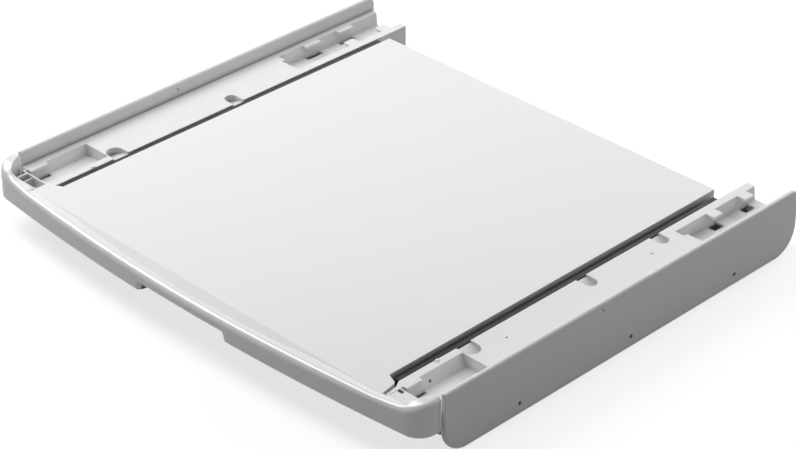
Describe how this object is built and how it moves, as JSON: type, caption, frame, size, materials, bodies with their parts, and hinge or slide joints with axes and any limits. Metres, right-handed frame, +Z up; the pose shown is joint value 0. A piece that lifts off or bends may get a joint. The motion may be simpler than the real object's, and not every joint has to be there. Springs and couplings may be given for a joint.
{
  "type": "stacking kit with pull-out shelf",
  "caption": "Flat frame that stacks a dryer on a washing machine, with foot pockets in its side rails and a wide shelf with a bowed front that pulls out on telescopic runners.",
  "frame": {"origin": "middle of the kit in plan, level with the lower edges of the skirts", "axes": "+X to the right seen from the front, +Y to the back, +Z up; the shelf pulls out along -Y"},
  "size_m": [0.61, 0.552, 0.07],
  "materials": {
    "rail_plastic": "satin white moulding",
    "skirt_plastic": "satin white extrusion",
    "shelf_plastic": "satin white moulding",
    "runner_steel": "zinc plated",
    "cage_plastic": "black",
    "ball_steel": "polished balls",
    "cross_steel": "galvanised grey",
    "screw_steel": "zinc plated",
    "pad_rubber": "matt",
    "bumper_rubber": "matt"
  },
  "bodies": {
    "kit_frame": {"left_rail": "rail_plastic", "right_rail": "rail_plastic", "left_skirt": "skirt_plastic", "right_skirt": "skirt_plastic", "skirt_screws": "screw_steel", "front_cross_member": "cross_steel", "rear_cross_member": "cross_steel", "cross_member_screws": "screw_steel", "left_runner_outer": "runner_steel", "right_runner_outer": "runner_steel", "outer_runner_screws": "screw_steel", "left_runner_bumper": "bumper_rubber", "right_runner_bumper": "bumper_rubber", "left_anti_slip_pads": "pad_rubber", "right_anti_slip_pads": "pad_rubber"},
    "shelf": {"pull_out_shelf": "shelf_plastic", "left_runner_inner": "runner_steel", "right_runner_inner": "runner_steel", "inner_runner_screws": "screw_steel"},
    "left_middle": {"left_runner_middle": "runner_steel"},
    "left_outer_cage": {"left_outer_ball_cage": "cage_plastic", "left_outer_balls": "ball_steel"},
    "left_inner_cage": {"left_inner_ball_cage": "cage_plastic", "left_inner_balls": "ball_steel"},
    "right_middle": {"right_runner_middle": "runner_steel"},
    "right_outer_cage": {"right_outer_ball_cage": "cage_plastic", "right_outer_balls": "ball_steel"},
    "right_inner_cage": {"right_inner_ball_cage": "cage_plastic", "right_inner_balls": "ball_steel"}
  },
  "joints": [
    {"name": "shelf_slide", "type": "slide", "parent": "kit_frame", "child": "shelf", "axis": [0, -1, 0], "range_m": [0, 0.35]},
    {"name": "left_middle_slide", "type": "slide", "parent": "kit_frame", "child": "left_middle", "axis": [0, -1, 0], "range_m": [0, 0.175]},
    {"name": "left_outer_cage_slide", "type": "slide", "parent": "kit_frame", "child": "left_outer_cage", "axis": [0, -1, 0], "range_m": [0, 0.0875]},
    {"name": "left_inner_cage_slide", "type": "slide", "parent": "kit_frame", "child": "left_inner_cage", "axis": [0, -1, 0], "range_m": [0, 0.2625]},
    {"name": "right_middle_slide", "type": "slide", "parent": "kit_frame", "child": "right_middle", "axis": [0, -1, 0], "range_m": [0, 0.175]},
    {"name": "right_outer_cage_slide", "type": "slide", "parent": "kit_frame", "child": "right_outer_cage", "axis": [0, -1, 0], "range_m": [0, 0.0875]},
    {"name": "right_inner_cage_slide", "type": "slide", "parent": "kit_frame", "child": "right_inner_cage", "axis": [0, -1, 0], "range_m": [0, 0.2625]}
  ],
  "couplings": [
    {"joint": "left_middle_slide", "follows": "shelf_slide", "ratio": 0.5},
    {"joint": "left_outer_cage_slide", "follows": "shelf_slide", "ratio": 0.25},
    {"joint": "left_inner_cage_slide", "follows": "shelf_slide", "ratio": 0.75},
    {"joint": "right_middle_slide", "follows": "shelf_slide", "ratio": 0.5},
    {"joint": "right_outer_cage_slide", "follows": "shelf_slide", "ratio": 0.25},
    {"joint": "right_inner_cage_slide", "follows": "shelf_slide", "ratio": 0.75}
  ]
}
